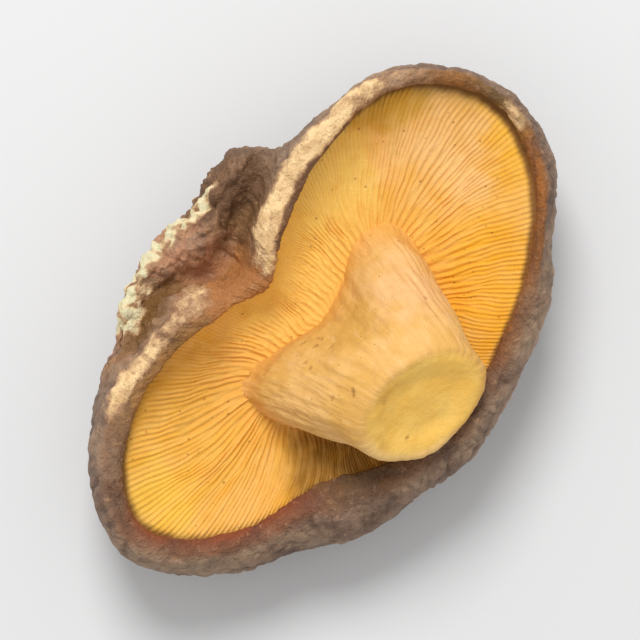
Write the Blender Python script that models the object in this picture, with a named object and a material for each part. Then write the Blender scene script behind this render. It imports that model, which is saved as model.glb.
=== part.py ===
"""Dried shiitake lying on its cap, gills up: a folded oval cap and a short stem that leans over the gills.

Run with: blender --background --python part.py
The world is in metres with +Z up. The shape values are written in millimetres and MM turns them into metres.
+X runs along the cap's long axis, and +Y runs across it to the side where the rim is folded in.
"""
import math
from collections import namedtuple

import bmesh
import bpy

MM = 0.001

# Where the middle of the bounding box lies, seen from the centre that the gills run out from
BOX_MIDDLE = (-0.25, -1.2)

# Sections of the cap around its centre. Each one gives its angle in degrees, the widest radius of the wall
# and its height, the radius and height of the rim's inner lip, how far the rim rolls outside that lip, how
# deep the skin is folded in behind the rim, and how far outside the rim's crest that fold is deepest.
Section = namedtuple("Section", "angle wall belly lip lip_height roll fold fold_out")
CAP_SECTIONS = (
    Section(0, 29.2, 9.8, 27.0, 14.0, 0.9, 0.0, 3.1),
    Section(20, 26.1, 10.2, 23.3, 14.8, 1.7, 0.0, 3.1),
    Section(35, 21.0, 10.4, 16.5, 14.9, 2.7, 0.2, 3.1),
    Section(50, 17.9, 10.2, 11.4, 14.4, 3.1, 1.0, 3.1),
    Section(65, 18.4, 9.8, 8.4, 13.6, 2.7, 3.0, 3.1),
    Section(90, 17.3, 9.4, 5.9, 12.7, 1.7, 4.4, 3.1),
    Section(105, 18.4, 8.9, 6.3, 12.6, 1.7, 3.8, 3.6),
    Section(118, 19.2, 8.7, 8.4, 13.0, 2.2, 3.0, 5.4),
    Section(127, 20.0, 8.6, 10.0, 13.4, 3.2, 2.9, 4.1),
    Section(137, 20.9, 8.6, 13.2, 13.9, 3.2, 2.2, 3.1),
    Section(150, 23.4, 8.8, 18.2, 14.2, 2.9, 0.7, 2.8),
    Section(165, 28.3, 8.6, 24.0, 14.0, 1.8, 0.0, 2.8),
    Section(178, 29.8, 8.2, 26.4, 13.4, 1.5, 0.0, 2.8),
    Section(195, 27.3, 7.8, 22.4, 12.5, 1.8, 0.0, 2.8),
    Section(215, 22.6, 7.8, 16.2, 12.0, 2.1, 0.0, 2.8),
    Section(240, 20.9, 8.2, 15.3, 12.4, 1.9, 0.0, 2.8),
    Section(270, 19.8, 9.2, 16.2, 13.4, 1.4, 0.0, 2.8),
    Section(300, 21.0, 10.2, 17.5, 14.4, 1.2, 0.0, 3.1),
    Section(325, 24.5, 10.6, 21.3, 14.9, 1.0, 0.0, 3.1),
    Section(345, 27.8, 10.2, 25.5, 14.4, 0.8, 0.0, 3.1),
)

# Cap profile
CROWN_FLAT = 0.9           # how much of the crown is pressed flat where the cap lies on it
SHOULDER_FULLNESS = 0.92   # below 1 makes the shoulder between the wall and the rim fuller than an ellipse
FOLD_FULLNESS = 0.06       # how much fuller the shoulder gets for each millimetre of the fold's depth
CREST_RISE = 0.9           # the rim's crest above its inner lip
ROLL_END = math.radians(150)   # how far the rim curls under itself
FOLD_WIDTH = 2.0
FOLD_START = 0.3           # share of the shoulder over which the fold sinks in from the wall
BED_FLOOR = 7.6            # height of the gill bed halfway between stem and rim
BED_POWER = 2.6
FOOT_RISE = 1.2            # the flesh rises this much towards the stem

# Gills
GILLS = 54
GILL_HEIGHT = 0.9
GILL_STEEPNESS = 0.45      # the most height for each millimetre between two gills
GILL_SWAY = 0.07           # how far the gills bend sideways halfway, in radians
FOOT_MARGIN = (1.0, 1.4)   # the gills rise over this range, in sizes of the stem's foot
GROOVE_MARGIN = (0.88, 1.0)    # and sink again over this share of the way to the groove

# Waviness of the dried cap: lobes around the cap, size in millimetres and phase
WALL_WAVES = ((5, 0.22, 0.4), (9, 0.26, 2.1), (13, 0.16, 4.0))
RIM_WAVES = ((4, 0.30, 1.0), (7, 0.28, 3.3), (12, 0.20, 5.1))

# Stem: its foot on the gill bed, its bent axis and the half widths of its sections
FOOT_CENTRE = (0.6, -2.6)
FOOT_HALF = (11.8, 5.6)
FOOT_FULLNESS = 0.7        # below 1 makes the two ends of the foot blunter than an ellipse
FOOT_BOW = 2.8             # how far those two ends bend back towards the folded side
STEM_BEND = (0.3, -4.8, 14.9)
STEM_END = (-0.4, -12.6, 19.2)
STEM_END_HALF = (7.1, 5.6)
CUT_TILT = math.radians(38)
CUT_TURN = math.radians(14)    # how far the cut end is turned about the upward direction, to the small lobe
CUT_EDGE = 0.5             # how far the cut face's edge stands out beyond the end of the stem's side
CUT_SINK = 0.5             # how far the middle of the cut face has shrunk back from its edge
CUT_SHARE = 0.82           # share of the stem's width that the cut face keeps inside its rounded edge
FOOT_DENT = 0.32           # hollow between the foot's two buttresses, on the side away from the lean
FOOT_BLEND = 0.28          # share of the stem over which it lifts off the gill bed
GAP = 0.3                  # free space between the stem's foot and the gill bed

# Mesh density: rings along each stretch of the profile
CAP_STEPS = 2 * GILLS
BOWL_RINGS = 9
SHOULDER_RINGS = 9
ROLL_RINGS = 3
BED_RINGS = 8
STEM_STEPS = 28
FOOT_RINGS = 2
SIDE_RINGS = 9
CUT_RINGS = 3


def smooth_step(low, high, value):
    """Rises from 0 at low to 1 at high without a corner."""
    share = min(1.0, max(0.0, (value - low) / (high - low)))
    return share * share * (3.0 - 2.0 * share)


def waves(terms, angle):
    """Sums a few cosine waves around the cap."""
    return sum(size * math.cos(count * angle + phase) for count, size, phase in terms)


def section_at(angle):
    """Blends the cap's sections along one closed smooth curve and returns the section at an angle."""
    degrees = math.degrees(angle) % 360.0
    count = len(CAP_SECTIONS)
    index = max(i for i in range(count) if CAP_SECTIONS[i].angle <= degrees)
    before, start = CAP_SECTIONS[index - 1], CAP_SECTIONS[index]
    end, after = CAP_SECTIONS[(index + 1) % count], CAP_SECTIONS[(index + 2) % count]
    span = (end.angle - start.angle) % 360.0
    span_before = (start.angle - before.angle) % 360.0
    span_after = (after.angle - end.angle) % 360.0
    u = (degrees - start.angle) / span
    values = []
    for field in range(1, len(start)):
        slope_start = (end[field] - before[field]) / (span + span_before) * span
        slope_end = (after[field] - start[field]) / (span + span_after) * span
        values.append(
            (2 * u**3 - 3 * u**2 + 1) * start[field]
            + (u**3 - 2 * u**2 + u) * slope_start
            + (3 * u**2 - 2 * u**3) * end[field]
            + (u**3 - u**2) * slope_end
        )
    return Section(degrees, *values)


def crest_of(section, angle):
    """Radius and height of the rim's crest."""
    return section.lip + section.roll, section.lip_height + CREST_RISE + waves(RIM_WAVES, angle)


def groove_of(section, angle):
    """Radius and height of the groove under the rolled rim, where the gills end."""
    crest_radius, crest_height = crest_of(section, angle)
    radius = crest_radius - section.roll * math.sin(ROLL_END)
    return radius, crest_height - CREST_RISE * (1 - math.cos(ROLL_END))


def bed_height(section, angle, share):
    """Height of the gill bed at a share of the way from the centre (0) to the groove (1)."""
    groove_height = groove_of(section, angle)[1]
    return BED_FLOOR + (groove_height - BED_FLOOR) * share**BED_POWER + FOOT_RISE * (1 - share) ** 3


def bed_height_at(x, y):
    """Height of the gill bed, without its ridges, over a place on the plan."""
    angle = math.atan2(y, x)
    section = section_at(angle)
    share = min(1.0, math.hypot(x, y) / groove_of(section, angle)[0])
    return bed_height(section, angle, share)


def gill_ridge(angle, share, x, y):
    """Height of the gill ridges, which fade out at the groove and around the stem's foot."""
    along_foot = (x - FOOT_CENTRE[0]) / FOOT_HALF[0]
    across_foot = (y - FOOT_CENTRE[1] - FOOT_BOW * along_foot**2) / FOOT_HALF[1]
    rising = smooth_step(*FOOT_MARGIN, math.hypot(along_foot, across_foot))
    sinking = smooth_step(*GROOVE_MARGIN, share)
    spacing = math.hypot(x, y) * 2 * math.pi / GILLS
    return min(GILL_HEIGHT, GILL_STEEPNESS * spacing) / 2 * math.cos(GILLS * angle) * rising * (1 - sinking)


def fold_depth(section, outside):
    """How deep the skin is folded in at a distance outside the rim's crest."""
    return section.fold * math.exp(-(((outside - section.fold_out) / FOLD_WIDTH) ** 2))


def bowl_point(section, angle, along):
    """Outer skin from the crown (0) to the widest line of the wall (1)."""
    turn = along * math.pi / 2
    radius = (section.wall + waves(WALL_WAVES, angle)) * math.sin(turn)
    height = section.belly * (1 - math.cos(turn))
    return radius, max(0.0, height - CROWN_FLAT * (1 - along))


def shoulder_point(section, angle, along):
    """Outer skin from the widest line (0) over the shoulder and through the fold to the rim's crest (1)."""
    turn = along * math.pi / 2
    crest_radius, crest_height = crest_of(section, angle)
    wall = section.wall + waves(WALL_WAVES, angle)
    fullness = SHOULDER_FULLNESS - FOLD_FULLNESS * section.fold
    radius = crest_radius + (wall - crest_radius) * math.cos(turn) ** fullness
    height = section.belly + (crest_height - section.belly) * math.sin(turn) ** fullness
    return radius, height - fold_depth(section, radius - crest_radius) * smooth_step(0.0, FOLD_START, along)


def roll_point(section, angle, along):
    """The rolled rim from its crest (0) over the lip and down into the groove (1)."""
    turn = along * ROLL_END
    crest_radius, crest_height = crest_of(section, angle)
    radius = crest_radius - section.roll * math.sin(turn)
    height = crest_height - CREST_RISE * (1 - math.cos(turn))
    return radius, height - fold_depth(section, radius - crest_radius)


def bed_point(angle, share):
    """Place on the gill bed, along a gill that bends a little sideways between the stem and the rim."""
    turned = angle + GILL_SWAY * math.sin(2 * angle + 1.0) * math.sin(math.pi * share)
    section = section_at(turned)
    radius = share * groove_of(section, turned)[0]
    x, y = radius * math.cos(turned), radius * math.sin(turned)
    return x, y, bed_height(section, turned, share) + gill_ridge(angle, share, x, y)


def cap_point(angle, ring):
    """Place of the cap's surface at an angle and a ring, from the crown to the middle of the gills."""
    section = section_at(angle)
    if ring <= BOWL_RINGS:
        radius, height = bowl_point(section, angle, ring / BOWL_RINGS)
    elif ring <= BOWL_RINGS + SHOULDER_RINGS:
        radius, height = shoulder_point(section, angle, (ring - BOWL_RINGS) / SHOULDER_RINGS)
    elif ring <= BOWL_RINGS + SHOULDER_RINGS + ROLL_RINGS:
        radius, height = roll_point(section, angle, (ring - BOWL_RINGS - SHOULDER_RINGS) / ROLL_RINGS)
    else:
        share = 1 - (ring - BOWL_RINGS - SHOULDER_RINGS - ROLL_RINGS) / BED_RINGS
        return bed_point(angle, share)
    return radius * math.cos(angle), radius * math.sin(angle), height


def stem_half_widths(along):
    """Half width and half thickness of the stem's section, from its wide foot (0) to its cut end (1)."""
    return tuple(foot + (end - foot) * along for foot, end in zip(FOOT_HALF, STEM_END_HALF))


def stem_section_point(angle, along, share):
    """Place in a section of the stem, at a share of the way from its middle (0) to its skin (1)."""
    foot = (*FOOT_CENTRE, bed_height_at(*FOOT_CENTRE) + GAP)
    middle = [
        (1 - along) ** 2 * start + 2 * along * (1 - along) * bend + along**2 * end
        for start, bend, end in zip(foot, STEM_BEND, STEM_END)
    ]
    half_width, half_depth = stem_half_widths(along)
    dent = 1 - FOOT_DENT * (1 - along) * max(0.0, math.sin(angle)) ** 4
    fullness = FOOT_FULLNESS + (1 - FOOT_FULLNESS) * along
    tilt = CUT_TILT * smooth_step(0.0, 1.0, along)
    across = share * half_width * math.cos(angle)
    rounding = math.copysign(abs(math.sin(angle)) ** fullness, math.sin(angle))
    upward = share * half_depth * rounding * dent
    bow = FOOT_BOW * (share * math.cos(angle)) ** 2 * (1 - along) ** 2
    turn = CUT_TURN * along
    back = upward * math.cos(tilt)
    x = middle[0] + across * math.cos(turn) + back * math.sin(turn)
    y = middle[1] + back * math.cos(turn) - across * math.sin(turn) + bow
    lifted = middle[2] + upward * math.sin(tilt)
    resting = bed_height_at(x, y) + GAP
    lift = smooth_step(0.0, FOOT_BLEND, along)
    return x, y, resting + (lifted - resting) * lift


def stem_point(angle, ring):
    """Place of the stem's surface at an angle and a ring, from under its foot to the middle of its cut."""
    if ring <= FOOT_RINGS:
        return stem_section_point(angle, 0.0, ring / FOOT_RINGS)
    if ring <= FOOT_RINGS + SIDE_RINGS:
        return stem_section_point(angle, (ring - FOOT_RINGS) / SIDE_RINGS, 1.0)
    inward = (ring - FOOT_RINGS - SIDE_RINGS - 1) / (CUT_RINGS - 1)
    x, y, z = stem_section_point(angle, 1.0, CUT_SHARE * (1 - inward))
    outward = CUT_EDGE - CUT_SINK * smooth_step(0.0, 0.5, inward)
    level = outward * math.sin(CUT_TILT)
    return x - level * math.sin(CUT_TURN), y - level * math.cos(CUT_TURN), z + outward * math.cos(CUT_TILT)


def moulded_ball(name, steps, rings, place):
    """Makes a closed ball of rings and steps, and moves each point to the place that a function gives."""
    shape = bmesh.new()
    bmesh.ops.create_uvsphere(shape, u_segments=steps, v_segments=rings, radius=1.0)
    for vertex in shape.verts:
        ring = round(math.acos(max(-1.0, min(1.0, -vertex.co.z))) / math.pi * rings)
        angle = math.atan2(vertex.co.y, vertex.co.x) if 0 < ring < rings else 0.0
        x, y, z = place(angle, ring)
        vertex.co = ((x - BOX_MIDDLE[0]) * MM, (y - BOX_MIDDLE[1]) * MM, z * MM)
    bmesh.ops.triangulate(shape, faces=shape.faces[:])
    bmesh.ops.recalc_face_normals(shape, faces=shape.faces[:])
    mesh = bpy.data.meshes.new(name)
    shape.to_mesh(mesh)
    shape.free()
    mesh.shade_smooth()
    mesh.set_sharp_from_angle(angle=math.radians(35))
    piece = bpy.data.objects.new(name, mesh)
    bpy.context.scene.collection.objects.link(piece)
    return piece


def finish(piece, name, colour, roughness):
    """Gives a piece its own plain material."""
    material = bpy.data.materials.new(name)
    material.use_nodes = True
    shader = material.node_tree.nodes["Principled BSDF"]
    shader.inputs["Base Color"].default_value = (*colour, 1.0)
    shader.inputs["Roughness"].default_value = roughness
    shader.inputs["Metallic"].default_value = 0.0
    piece.data.materials.append(material)


def make_cap():
    """The cap: its leathery skin, its rolled rim and the bed of gills, grown as one piece."""
    cap = moulded_ball("cap", CAP_STEPS, BOWL_RINGS + SHOULDER_RINGS + ROLL_RINGS + BED_RINGS, cap_point)
    finish(cap, "cap_skin", (0.21, 0.13, 0.08), 0.7)


def make_stem():
    """The stem, which stands on the gill bed and ends in its cut face."""
    stem = moulded_ball("stem", STEM_STEPS, FOOT_RINGS + SIDE_RINGS + CUT_RINGS, stem_point)
    finish(stem, "stem_flesh", (0.82, 0.53, 0.20), 0.8)


for item in list(bpy.data.objects):
    bpy.data.objects.remove(item, do_unlink=True)
make_cap()
make_stem()
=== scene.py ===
# %% [markdown]
# # A dried shiitake, lying gills up
# A plain model already fixes the mushroom's size and place: a cap that is folded in on one side, and a
# short stem that leans over the gills. This lesson makes what the eye looks for, which is a few hundred
# fine gills, a leathery skin with a rolled rim, and a fibrous stem with a cut end. The plain model is
# loaded first, because every piece that is made later stands where its solid stands.

# %% Load the plain model
import random
from collections import namedtuple
from math import atan2, copysign, cos, degrees, exp, hypot, pi, radians, sin, sqrt, tau

import bmesh
import bpy
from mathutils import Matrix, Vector, noise


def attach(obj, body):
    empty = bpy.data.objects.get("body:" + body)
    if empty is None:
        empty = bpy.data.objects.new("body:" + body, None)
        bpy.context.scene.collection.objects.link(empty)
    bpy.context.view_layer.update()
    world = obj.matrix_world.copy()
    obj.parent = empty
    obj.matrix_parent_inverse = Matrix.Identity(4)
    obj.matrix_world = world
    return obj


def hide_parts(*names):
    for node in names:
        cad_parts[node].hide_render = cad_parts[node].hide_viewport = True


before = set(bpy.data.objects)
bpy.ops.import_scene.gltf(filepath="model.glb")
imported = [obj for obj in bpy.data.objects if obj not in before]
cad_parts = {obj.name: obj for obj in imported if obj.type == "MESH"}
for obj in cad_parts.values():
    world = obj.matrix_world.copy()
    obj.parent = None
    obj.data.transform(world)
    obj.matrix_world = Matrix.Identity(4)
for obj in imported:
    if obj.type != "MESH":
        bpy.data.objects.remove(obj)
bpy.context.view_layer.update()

MM = 0.001

# %% [markdown]
# ## The cap's shape
# A cap grows outwards from its stem, so its shape is told best around that centre: for each direction, how
# far the wall and the rim reach and how high they stand. Twenty sections and one smooth closed curve
# through them give every direction in between. They are the plain model's own sections, so the fine pieces
# and the solids agree. The values are millimetres, because a mushroom is easier to think about in them.

# %% Sections of the cap
# Angle in degrees, widest radius of the wall and its height, radius and height of the rim's inner lip, how
# far the rim rolls outside that lip, how deep the skin is folded in behind the rim, and how far outside
# the rim's crest that fold is deepest
Section = namedtuple("Section", "angle wall belly lip lip_height roll fold fold_out")
CAP_SECTIONS = tuple(Section(*row) for row in (
    (0, 29.2, 9.8, 27.0, 14.0, 0.9, 0.0, 3.1),
    (20, 26.1, 10.2, 23.3, 14.8, 1.7, 0.0, 3.1),
    (35, 21.0, 10.4, 16.5, 14.9, 2.7, 0.2, 3.1),
    (50, 17.9, 10.2, 11.4, 14.4, 3.1, 1.0, 3.1),
    (65, 18.4, 9.8, 8.4, 13.6, 2.7, 3.0, 3.1),
    (90, 17.3, 9.4, 5.9, 12.7, 1.7, 4.4, 3.1),
    (105, 18.4, 8.9, 6.3, 12.6, 1.7, 3.8, 3.6),
    (118, 19.2, 8.7, 8.4, 13.0, 2.2, 3.0, 5.4),
    (127, 20.0, 8.6, 10.0, 13.4, 3.2, 2.9, 4.1),
    (137, 20.9, 8.6, 13.2, 13.9, 3.2, 2.2, 3.1),
    (150, 23.4, 8.8, 18.2, 14.2, 2.9, 0.7, 2.8),
    (165, 28.3, 8.6, 24.0, 14.0, 1.8, 0.0, 2.8),
    (178, 29.8, 8.2, 26.4, 13.4, 1.5, 0.0, 2.8),
    (195, 27.3, 7.8, 22.4, 12.5, 1.8, 0.0, 2.8),
    (215, 22.6, 7.8, 16.2, 12.0, 2.1, 0.0, 2.8),
    (240, 20.9, 8.2, 15.3, 12.4, 1.9, 0.0, 2.8),
    (270, 19.8, 9.2, 16.2, 13.4, 1.4, 0.0, 2.8),
    (300, 21.0, 10.2, 17.5, 14.4, 1.2, 0.0, 3.1),
    (325, 24.5, 10.6, 21.3, 14.9, 1.0, 0.0, 3.1),
    (345, 27.8, 10.2, 25.5, 14.4, 0.8, 0.0, 3.1),
))
BOX_MIDDLE = (-0.25, -1.2)  # middle of the bounding box, seen from the centre that the gills run out from
WALL_WAVES = ((5, 0.22, 0.4), (9, 0.26, 2.1), (13, 0.16, 4.0))  # lobes around the cap, size and phase
RIM_WAVES = ((4, 0.30, 1.0), (7, 0.28, 3.3), (12, 0.20, 5.1))


def smooth_step(low, high, value):
    """Goes from 0 at low to 1 at high without a corner, also where high is the lower value."""
    share = min(1.0, max(0.0, (value - low) / (high - low)))
    return share * share * (3.0 - 2.0 * share)


def waves(terms, angle):
    """Sums a few cosine waves around the cap."""
    return sum(size * cos(count * angle + phase) for count, size, phase in terms)


def section_at(angle):
    """Blends the cap's sections along one closed smooth curve and returns the section at an angle."""
    bearing = degrees(angle) % 360.0
    count = len(CAP_SECTIONS)
    index = max(i for i in range(count) if CAP_SECTIONS[i].angle <= bearing)
    before, start = CAP_SECTIONS[index - 1], CAP_SECTIONS[index]
    end, after = CAP_SECTIONS[(index + 1) % count], CAP_SECTIONS[(index + 2) % count]
    span = (end.angle - start.angle) % 360.0
    span_before = (start.angle - before.angle) % 360.0
    span_after = (after.angle - end.angle) % 360.0
    u = (bearing - start.angle) / span
    from_start, from_end = 2 * u**3 - 3 * u**2 + 1, 3 * u**2 - 2 * u**3
    lean_start, lean_end = (u**3 - 2 * u**2 + u) * span, (u**3 - u**2) * span
    values = []
    for field in range(1, len(start)):
        slope_start = (end[field] - before[field]) / (span + span_before)
        slope_end = (after[field] - start[field]) / (span + span_after)
        values.append(from_start * start[field] + lean_start * slope_start
                      + from_end * end[field] + lean_end * slope_end)
    return Section(bearing, *values)


longest = max(section.wall for section in CAP_SECTIONS)
print("sections:", len(CAP_SECTIONS), "longest radius:", longest, "mm")

# %% [markdown]
# ## From crown to rim
# Drying pulls the edge of a cap inwards and rolls it over, so a cut through the cap runs up a bowl, over a
# shoulder, over the rim's crest and down into the groove where the gills end. Each stretch is a short
# formula that takes how far along the stretch a point is. On the folded side the skin behind the rim has
# sunk into a valley.

# %% Profile of the skin
CROWN_FLAT = 0.9  # how much of the crown is pressed flat where the cap lies on it
SHOULDER_FULLNESS = 0.92  # below 1 makes the shoulder between the wall and the rim fuller than an ellipse
FOLD_FULLNESS = 0.06  # how much fuller the shoulder gets for each millimetre of the fold's depth
CREST_RISE = 0.9  # the rim's crest above its inner lip
ROLL_END = radians(150)  # how far the rim curls under itself
FOLD_WIDTH = 2.0
FOLD_START = 0.3  # share of the shoulder over which the fold sinks in from the wall


def crest_of(section, angle):
    """Radius and height of the rim's crest."""
    return section.lip + section.roll, section.lip_height + CREST_RISE + waves(RIM_WAVES, angle)


def around_rim(section, angle, turn):
    """Radius and height on the rolled rim at a turn from its crest."""
    crest_radius, crest_height = crest_of(section, angle)
    return crest_radius - section.roll * sin(turn), crest_height - CREST_RISE * (1 - cos(turn))


def groove_of(section, angle):
    """Radius and height of the groove under the rolled rim, where the gills end."""
    return around_rim(section, angle, ROLL_END)


def fold_depth(section, outside):
    """How deep the skin is folded in at a distance outside the rim's crest."""
    return section.fold * exp(-(((outside - section.fold_out) / FOLD_WIDTH) ** 2))


def bowl_point(section, angle, along):
    """Outer skin from the crown (0) to the widest line of the wall (1)."""
    turn = along * pi / 2
    radius = (section.wall + waves(WALL_WAVES, angle)) * sin(turn)
    return radius, max(0.0, section.belly * (1 - cos(turn)) - CROWN_FLAT * (1 - along))


def shoulder_point(section, angle, along):
    """Outer skin from the widest line (0) over the shoulder and through the fold to the rim's crest (1)."""
    turn = along * pi / 2
    crest_radius, crest_height = crest_of(section, angle)
    wall = section.wall + waves(WALL_WAVES, angle)
    fullness = SHOULDER_FULLNESS - FOLD_FULLNESS * section.fold
    radius = crest_radius + (wall - crest_radius) * cos(turn) ** fullness
    height = section.belly + (crest_height - section.belly) * sin(turn) ** fullness
    return radius, height - fold_depth(section, radius - crest_radius) * smooth_step(0.0, FOLD_START, along)


def roll_point(section, angle, along):
    """The rolled rim from its crest (0) over the lip and down into the groove (1)."""
    radius, height = around_rim(section, angle, along * ROLL_END)
    return radius, height - fold_depth(section, radius - crest_of(section, angle)[0])


for bearing in (0, 90, 180, 270):
    radius, height = roll_point(section_at(radians(bearing)), radians(bearing), 0.6)
    print(f"lip at {bearing} degrees: radius {radius:.1f} mm, height {height:.1f} mm")

# %% [markdown]
# ## The gill bed's shape
# The gills grow on a shallow dish that rises towards the rim and swells a little around the stem's foot.
# The dish is one formula of the share of the way from the centre to the groove, and the gills are added to
# its height later.

# %% Dish under the gills
BED_FLOOR = 7.6  # height of the gill bed halfway between stem and rim
BED_POWER = 2.6
FOOT_RISE = 1.2  # the flesh rises this much towards the stem
GILL_SWAY = 0.07  # how far the gills bend sideways halfway, in radians


def bed_height(section, angle, share):
    """Height of the gill bed at a share of the way from the centre (0) to the groove (1)."""
    groove_height = groove_of(section, angle)[1]
    return BED_FLOOR + (groove_height - BED_FLOOR) * share**BED_POWER + FOOT_RISE * (1 - share) ** 3


def bed_height_at(x, y):
    """Height of the gill bed over a place on the plan."""
    angle = atan2(y, x)
    section = section_at(angle)
    share = min(1.0, hypot(x, y) / groove_of(section, angle)[0])
    return bed_height(section, angle, share)


print(f"bed at the centre: {bed_height_at(0.0, 0.001):.1f} mm")
print(f"bed near the large lobe's rim: {bed_height_at(25.0, 0.0):.1f} mm")

# %% [markdown]
# ## A sheet rolled into a lump
# Every piece of this mushroom is one closed lump. Blender makes a flat sheet of squares quickly, however
# fine it is, and a function of an angle and a ring then says where each of its points goes, the way a
# potter wraps a slab of clay: the sheet's two sides meet in a seam, and its two ends close into points,
# which are welded. A second pass pushes each point along its own normal, which adds wrinkles whichever way
# the surface faces. Marks that this pass leaves on the points, such as how deep a crease is, are kept for
# the finishes.

# %% Roll a sheet
WELD = 0.0001  # points closer than this many millimetres are the same point


def rolled_lump(steps, rings, place):
    """A sheet closed into a lump, with a function of angle and ring that puts its points in place."""
    shape = bmesh.new()
    bmesh.ops.create_grid(shape, x_segments=steps, y_segments=rings, size=1.0)
    turn = shape.verts.layers.float.new("turn")
    level = shape.verts.layers.float.new("level")
    for vertex in shape.verts:
        step, ring = round((vertex.co.x + 1.0) / 2 * steps), round((vertex.co.y + 1.0) / 2 * rings)
        vertex[turn], vertex[level] = step, ring
        vertex.co = place(step / steps * tau, ring)
    bmesh.ops.remove_doubles(shape, verts=shape.verts[:], dist=WELD)
    spots = [(vertex[turn] % steps / steps * tau, round(vertex[level])) for vertex in shape.verts]
    shape.verts.layers.float.remove(shape.verts.layers.float["turn"])
    shape.verts.layers.float.remove(shape.verts.layers.float["level"])
    bmesh.ops.recalc_face_normals(shape, faces=shape.faces[:])
    shape.normal_update()
    return shape, spots


print("points merge within, mm:", WELD)

# %% Mould a piece
def placed(name, data):
    """An object in the scene that shows a mesh, a camera or a light."""
    made = bpy.data.objects.new(name, data)
    bpy.context.scene.collection.objects.link(made)
    return made


def moulded(name, steps, rings, place, relief, mark_names):
    """A piece that rides on the mushroom: a rolled sheet whose points a relief pushes and marks."""
    shape, spots = rolled_lump(steps, rings, place)
    marks = []
    for vertex, (angle, ring) in zip(shape.verts, spots):
        push, mark = relief(vertex.co, angle, ring)
        vertex.co += vertex.normal * push
        vertex.co.z = max(0.0, vertex.co.z)
        marks.append(mark)
    bmesh.ops.translate(shape, verts=shape.verts[:], vec=(-BOX_MIDDLE[0], -BOX_MIDDLE[1], 0.0))
    bmesh.ops.scale(shape, verts=shape.verts[:], vec=(MM, MM, MM))
    mesh = bpy.data.meshes.new(name)
    shape.to_mesh(mesh)
    shape.free()
    mesh.shade_smooth()
    for index, mark_name in enumerate(mark_names):
        layer = mesh.attributes.new(mark_name, "FLOAT", "POINT")
        layer.data.foreach_set("value", [mark[index] for mark in marks])
    piece = placed(name, mesh)
    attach(piece, "root")
    triangles = sum(len(face.vertices) - 2 for face in mesh.polygons)
    print(f"{name}: {len(mesh.vertices)} points, {triangles} triangles")
    return piece


print("pieces move by, mm:", -BOX_MIDDLE[0], -BOX_MIDDLE[1])

# %% [markdown]
# ## Wrinkles by noise
# Dried flesh wrinkles at many sizes at once, and no two wrinkles are alike, so they come from smooth noise
# and not from a drawing. Where such a noise changes sign it leaves thin winding lines, and those lines
# make good creases between soft pads. The noise starts from a fixed seed, because the vector noise would
# otherwise start from the clock, and each run would give other wrinkles.

# %% Noise in millimetres
DRIFT_SPAN = 1.3  # brings the plain noise to about -1 to 1
CREASE_WINDING = 0.55  # how far a crease strays from its way, in sizes of the pads
CREASE_SHARPNESS = 4.5  # the higher, the narrower a crease
CRUMPLE_SIZES = ((1.7, 1.0), (0.9, 0.5), (0.5, 0.27))  # depth and size of each of three kinds of pads
noise.seed_set(5)


def drift(place, size, seed):
    """Slow variation between about -1 and 1 with features of one size."""
    return noise.noise(place / size + Vector((seed, -seed, 0.5 * seed))) * DRIFT_SPAN


def creases(place, size, seed):
    """1 in a crease and 0 on the pads between creases."""
    spot = place / size + Vector((seed, 0.5 * seed, -seed))
    spot += noise.noise_vector(spot * 0.6) * CREASE_WINDING
    return max(0.0, 1.0 - abs(noise.noise(spot)) * CREASE_SHARPNESS)


def crumple(place, size, seed):
    """Rounded pads with sharp valleys between them at three sizes at once, from 0 to about 1."""
    spot = place + noise.noise_vector(place / (2.0 * size)) * 0.5 * size + Vector((seed, seed, -seed))
    return sum(depth * abs(noise.noise(spot / (size * part))) for depth, part in CRUMPLE_SIZES)


def ray_to(angle):
    """Direction around the cap, as a place for noise that closes around it."""
    return Vector((cos(angle), sin(angle), 0.0))


def arc(angle, middle, reach, fade):
    """1 within a reach of a direction around the cap and 0 beyond its fade, all in degrees."""
    away = abs((degrees(angle) - middle + 180.0) % 360.0 - 180.0)
    return 1.0 - smooth_step(reach, reach + fade, away)


samples = [creases(Vector((i * 0.37, i * 0.11, 0.0)), 2.0, 1.0) for i in range(2000)]
print(f"share of skin in a crease: {sum(1 for value in samples if value > 0.3) / len(samples):.2f}")

# %% [markdown]
# ## The leathery cap
# The skin runs from the crown over the shoulder and the rim, and then under the gills, where it closes the
# piece out of sight. Its relief has five parts: broad puckers and narrow gathers that run down from the
# rim, creases of three sizes, crumpled pads like those of old leather, a crust of lumps on the folded
# shoulder, and a rim whose edge is never quite even. Along the rim on both sides of the fold and at the
# crust's edge the skin is worn through, and the pale flesh shows.

# %% Roll the cap
CAP_STEPS = 640
BOWL_RINGS, SHOULDER_RINGS, ROLL_RINGS, TUCK_RINGS, FLOOR_RINGS = 70, 54, 22, 4, 4
CREST_RING = BOWL_RINGS + SHOULDER_RINGS
CAP_RINGS = CREST_RING + ROLL_RINGS + TUCK_RINGS + FLOOR_RINGS
TUCK_DEPTH = 1.5  # how far the skin's hidden side lies under the gill bed
TUCK_IN = 0.6  # and how far it goes on outwards under the rim


def cap_stretch(ring):
    """Names the stretch of the profile that a ring is on, and how far along the stretch it is."""
    for name, count in (("bowl", BOWL_RINGS), ("shoulder", SHOULDER_RINGS), ("roll", ROLL_RINGS),
                        ("tuck", TUCK_RINGS), ("floor", FLOOR_RINGS)):
        if ring <= count:
            return name, ring / count
        ring -= count


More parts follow.
